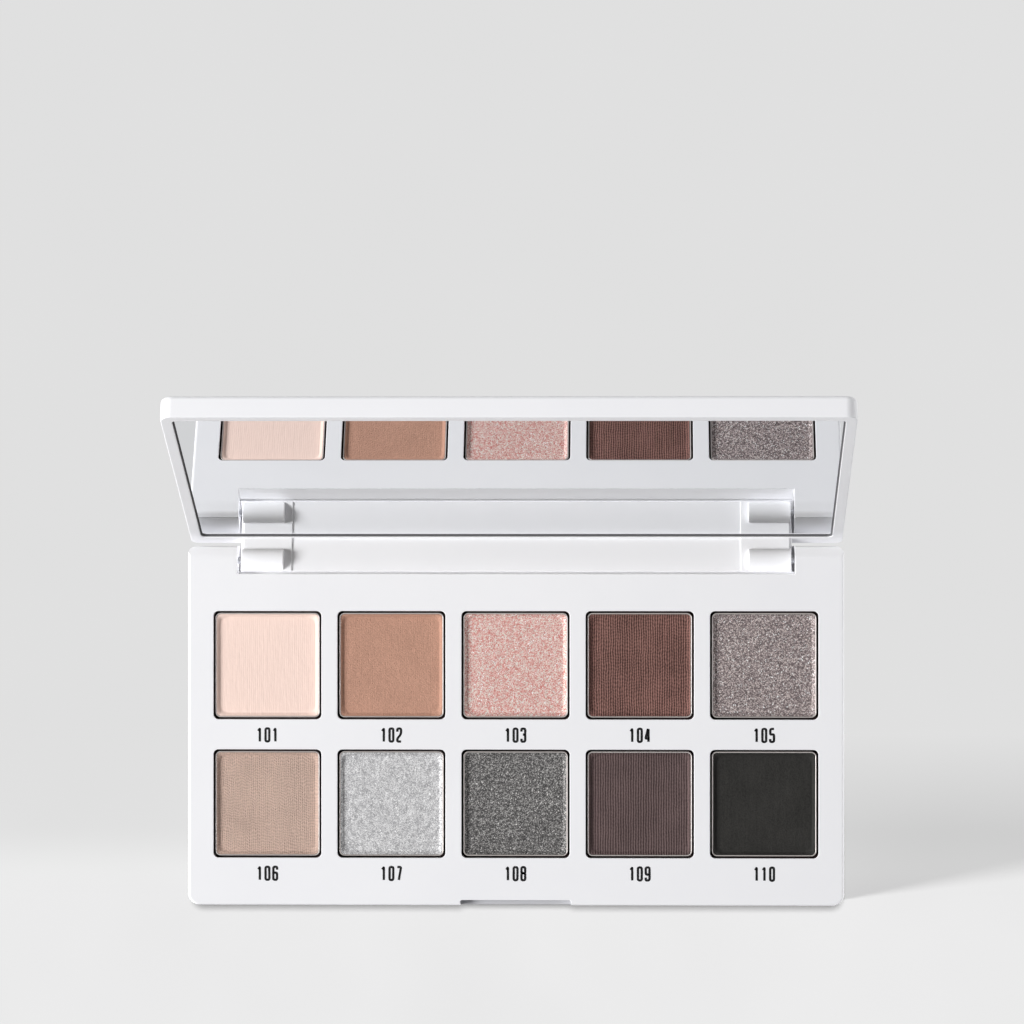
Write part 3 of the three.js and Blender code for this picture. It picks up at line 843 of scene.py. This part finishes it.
def softened(points, radius, steps=5):
    """A line of points with each corner rounded off."""
    closed = points[0] == points[-1]
    path = [Vector(p) for p in (points[:-1] if closed else points)]
    result = []
    for index, here in enumerate(path):
        if not closed and index in (0, len(path) - 1):
            result.append(here)
            continue
        before = path[index - 1] - here
        after = path[(index + 1) % len(path)] - here
        reach = min(radius, before.length * 0.48, after.length * 0.48)
        start = here + before.normalized() * reach
        end = here + after.normalized() * reach
        for step in range(steps + 1):
            share = step / steps
            result.append((1 - share) ** 2 * start + 2 * share * (1 - share) * here + share ** 2 * end)
    return result, closed


def stroke(work, points, width, z0, z1):
    """A flat ribbon along a line."""
    path, closed = softened(points, 0.5)
    count = len(path)
    rails = []
    for index, here in enumerate(path):
        before = path[index - 1] if closed or index else here - (path[1] - here)
        after = path[(index + 1) % count] if closed or index < count - 1 else here + (here - path[-2])
        first = (here - before).normalized()
        second = (after - here).normalized()
        mitre = Vector((-first.y - second.y, first.x + second.x))
        mitre *= width / max(mitre.length_squared, 1.2)
        rails.append([
            work.verts.new((p.x, p.y, z))
            for p, z in ((here + mitre, z0), (here - mitre, z0), (here - mitre, z1), (here + mitre, z1))
        ])
    pairs = list(zip(rails, rails[1:])) + ([(rails[-1], rails[0])] if closed else [])
    for low, high in pairs:
        for corner in range(4):
            after = (corner + 1) % 4
            work.faces.new((low[corner], low[after], high[after], high[corner]))
    if not closed:
        work.faces.new(rails[0][::-1])
        work.faces.new(rails[-1])


def numbers(finish):
    """A three-digit number printed under each pan."""
    wide = (NUMBER_WIDTH - STROKE) / 2
    tall = (NUMBER_HEIGHT - STROKE) / 2
    for number in SHADES:
        low, high = box("pan_" + number)
        centre = (low + high) / 2
        middle = centre.y - OPENING / 2 - NUMBER_DROP

        def build(work, text=str(100 + int(number)), centre=centre, middle=middle):
            for index, digit in enumerate(text):
                x = centre.x + (index - 1) * NUMBER_PITCH
                for line in DIGITS[digit]:
                    points = [(x + u * wide, middle + v * tall) for u, v in line]
                    stroke(work, points, STROKE, TOP, TOP + INK)

        piece = new_object("number_" + number, build)
        settle(piece, finish, "base", "white_plastic")


# ---------------------------------------------------------------- lid

def flange_outline(rise=0.0):
    """The flange's section in YZ: a plate whose foot is rounded about the hinge."""
    face = BACK - FLANGE_FACE - rise
    across = face - HINGE_Y
    start = math.degrees(math.atan2(-math.sqrt(FLANGE_RADIUS ** 2 - across ** 2), across))
    foot = arc(HINGE_Y, HINGE_Z, FLANGE_RADIUS, start, 0, 16)
    return foot + [(BACK, LID_Z), (BACK, LID_Z + 1), (face, LID_Z + 1)]


def across_x(near, far, edge):
    """Levels between two places along X, with both ends rounded off."""
    low, high = sorted((near, far))
    return round_under(edge, low, 5) + round_over(edge, high, 5)


def lid_shell(finish):
    """The lid, drawn closed and then turned open, as its CAD node is."""
    levels = round_under(RIM_EDGE, LID_Z, 4) + round_over(LID_EDGE, LID_TOP)
    lid = loft("lid_case", plan(), levels)
    pocket = rounded(-SIDE + RIM_SIDE, FRONT + RIM_FRONT, SIDE - RIM_SIDE, BACK - RIM_REAR, RIM_CORNER)
    hollow = [(inset, 2 * LID_Z - level) for inset, level in flare(CUT_EDGE, LID_Z, PAST)][::-1]
    cut(lid, loft("pocket", pocket, hollow + [(0, LID_Z + LEDGE)]))
    join(lid, loft("flange", flange_outline(), across_x(-FLANGE_HALF, FLANGE_HALF, FLANGE_END), along_x))
    for side in SIDES.values():
        boss = across_x(side * BOSS_INNER, side * (FLANGE_HALF - BOSS_SHORT), BOSS_END)
        join(lid, loft("boss", flange_outline(BOSS_RISE), boss, along_x))
        barrel = across_x(side * BARREL_INNER, side * (FLANGE_HALF - BARREL_SHORT), BARREL_END)
        join(lid, loft("barrel", circle(BARREL_RADIUS, HINGE_Y, HINGE_Z), barrel, along_x))
        ends = (side * BORE_INNER, side * (FLANGE_HALF + 3 * PAST))
        bore = [(0, end) for end in sorted(ends)]
        cut(lid, loft("bore", circle(BORE_RADIUS, HINGE_Y, HINGE_Z, 32), bore, along_x))
    open_up(lid)
    shade_smooth(lid)
    settle(lid, finish, "lid", "white_plastic", "lid_shell")
    return lid


def mirror(finish):
    inset = MIRROR_CLEARANCE
    outline = rounded(
        -SIDE + RIM_SIDE + inset, FRONT + RIM_FRONT + inset,
        SIDE - RIM_SIDE - inset, BACK - RIM_REAR - inset, RIM_CORNER - inset,
    )
    face = LID_Z + MIRROR_DROP
    levels = [(MIRROR_EDGE, face), (0, face + MIRROR_EDGE), (0, face + MIRROR_THICKNESS)]
    glass = loft("mirror", outline, levels)
    glass.visible_diffuse = False  # it throws no glare back on the base
    glass.visible_glossy = False
    open_up(glass)
    shade_smooth(glass, 20)
    settle(glass, finish, "lid", "silvered_glass", "mirror_glass")


def hinge_pins(finish):
    for name in SIDES:
        low, high = box("hinge_pin_" + name)
        outline = circle(PIN_RADIUS, HINGE_Y, HINGE_Z, 32)
        pin = loft("pin_" + name, outline, across_x(low.x, high.x, 0.15), along_x)
        shade_smooth(pin)
        settle(pin, finish, "base", "pin_steel", "hinge_pin_" + name)


def hidden_pieces():
    """The CAD pieces that stay: glue, tape and magnets, all out of sight."""
    finishes = {"glue_spot": glue(), "mirror_tape": foam()}
    nickel = steel("magnet_nickel", 0.2, 0.35)
    for name, node in frame["nodes"].items():
        for start, finish in list(finishes.items()) + [("base_magnet", nickel), ("lid_magnet", nickel)]:
            if name.startswith(start):
                node.data.materials.clear()
                node.data.materials.append(finish)


# ---------------------------------------------------------------- studio

def studio_floor():
    """A pale tabletop that glows at the back and is lit in front, so that shadows show only there."""
    finish = Finish("studio_floor", Roughness=0.9, Specular_IOR_Level=0.0, Emission_Strength=1.0)
    depth = finish.node("ShaderNodeSeparateXYZ", finish.place).outputs[1]
    near = finish.node("ShaderNodeMapRange", depth, FRONT + 17, FRONT + 5, 0, 1)
    near.interpolation_type = "SMOOTHSTEP"
    lit = finish.node("ShaderNodeMapRange", depth, FRONT + 36, FRONT + 2, 0, 1)
    speck = finish.grain(0.02, 2)
    back = finish.blend(speck, rgb(223, 223, 223), rgb(225, 225, 225))
    front = finish.blend(speck, rgb(233, 233, 233), rgb(235, 235, 235))
    light = finish.math("MULTIPLY", lit, TOP_SHARE + SIDE_SHARE)
    glow = finish.node("ShaderNodeVectorMath", finish.blend(near, back, front), light, operation="SUBTRACT")
    finish.drive("Emission Color", glow)
    grey = finish.spread(speck, 0.98 * FLOOR_GREY, 1.02 * FLOOR_GREY)
    finish.drive("Base Color", finish.math("MULTIPLY", lit, grey))
    outline = rounded(-FLOOR_HALF, -FLOOR_HALF, FLOOR_HALF, FLOOR_HALF, 10)
    floor = loft("studio_floor", outline, [(0, -5), (0, -0.02)])
    floor.data.materials.append(finish.material)
    return floor


def aimed(thing, place, target, up):
    """Puts a camera or lamp at a place, looking at a target, with up at the top of its view."""
    place = Vector(place) * METRE
    back = (place - Vector(target) * METRE).normalized()
    side = Vector(up).cross(back).normalized()
    top = back.cross(side)
    thing.matrix_world = Matrix.Translation(place) @ Matrix((side, top, back)).transposed().to_4x4()


def group(name, state, *pieces):
    """A light group: these pieces alone, or all but these."""
    made = bpy.data.collections.new(name)
    for piece in pieces:
        made.objects.link(piece)
    for member in made.collection_objects:
        member.light_linking.link_state = state
    return made


def lamp(name, place, target, size, watts, lights, shadows=None):
    """A soft square lamp, with the group that it lights and the group that casts its shadows."""
    data = bpy.data.lights.new(name, "AREA")
    data.size = size * METRE
    data.energy = watts
    made = bpy.data.objects.new(name, data)
    bpy.context.scene.collection.objects.link(made)
    aimed(made, place, target, (0, 1, 0.01))
    made.light_linking.receiver_collection = lights
    made.light_linking.blocker_collection = shadows


def sun(name, azimuth, elevation, softness, share, lights, shadows):
    """A distant lamp that makes the floor as bright as its share."""
    data = bpy.data.lights.new(name, "SUN")
    data.angle = math.radians(softness)
    height = math.sin(math.radians(elevation))
    data.energy = share * math.pi / (FLOOR_GREY * height)
    made = bpy.data.objects.new(name, data)
    bpy.context.scene.collection.objects.link(made)
    level = math.cos(math.radians(elevation))
    way = Vector((level * math.cos(math.radians(azimuth)), level * math.sin(math.radians(azimuth)), height))
    aimed(made, way / METRE, (0, 0, 0), (1, 0, 0.01))
    made.light_linking.receiver_collection = lights
    made.light_linking.blocker_collection = shadows


def studio(lid, tray, shell):
    """A low soft lamp to the left of the palette does most, and weak lamps lift what it leaves dark."""
    floor = studio_floor()
    palette = group("palette", "EXCLUDE", floor)
    base = group("base", "EXCLUDE", floor, lid)
    floor_only = group("floor_only", "INCLUDE", floor)
    lid_only = group("lid_only", "INCLUDE", lid)
    case_only = group("case_only", "INCLUDE", tray, shell)
    tray_only = group("tray_only", "INCLUDE", tray)
    shell_only = group("shell_only", "INCLUDE", shell)
    right, right_wall = (1500, 0, 70), (70, 0, 5)
    behind, recess_wall = (0, 1500, -450), (0, 30, 5)
    for name, lights, shadows in (("key", base, None), ("lid_key", lid_only, lid_only)):
        lamp(name, (-1780, -120, 1300), (0, 0, 10), 850, 65.0, lights, shadows)
    lamp("side_fill", right, right_wall, 100, 9.0, palette)
    lamp("front_fill", (0, -1500, 70), (0, -40, 5), 100, 1.0, palette)
    lamp("lid_light", (0, 1500, 1500), (0, 60, 60), 600, 5.5, lid_only)
    lamp("case_side", right, right_wall, 100, 6.0, case_only)
    lamp("tray_back", behind, recess_wall, 100, 8.5, tray_only, case_only)
    lamp("shell_back", behind, recess_wall, 100, 3.0, shell_only, case_only)
    sun("floor_top", 90, 80.9, 10.3, TOP_SHARE, floor_only, case_only)
    sun("floor_side", 190, 12, 7, SIDE_SHARE, floor_only, case_only)
    world = bpy.data.worlds.new("studio")
    world.use_nodes = True
    backdrop = world.node_tree.nodes["Background"]
    backdrop.inputs["Color"].default_value = (0.98, 0.98, 1.0, 1)
    ray = world.node_tree.nodes.new("ShaderNodeLightPath")
    strength = world.node_tree.nodes.new("ShaderNodeMapRange")
    strength.inputs["To Min"].default_value = ROOM_LIGHT
    strength.inputs["To Max"].default_value = ROOM_SEEN
    world.node_tree.links.new(ray.outputs["Is Singular Ray"], strength.inputs["Value"])
    world.node_tree.links.new(strength.outputs[0], backdrop.inputs["Strength"])
    bpy.context.scene.world = world
    bpy.context.scene.view_settings.view_transform = "Standard"


def camera():
    """Straight above, a metre up, and aimed a little sideways."""
    data = bpy.data.cameras.new("camera")
    data.lens = LENS
    data.sensor_width = SENSOR
    data.clip_end = 20
    made = bpy.data.objects.new("camera", data)
    bpy.context.scene.collection.objects.link(made)
    middle = BACK + AIM_BEHIND
    place = (CAMERA_ASIDE, middle, TOP + CAMERA_HEIGHT)
    aimed(made, place, (AIM_ASIDE, middle, TOP), (0, 1, 0))
    bpy.context.scene.camera = made


# ---------------------------------------------------------------- the palette

camera()
plastic = white_plastic()
shell = base_shell(plastic)
tray = pan_tray(plastic)
pans(tinplate())
cakes()
numbers(ink())
lid = lid_shell(plastic)
mirror(silvering())
hinge_pins(steel("pin_steel", 0.25, 0.4))
hidden_pieces()
studio(lid, tray, shell)
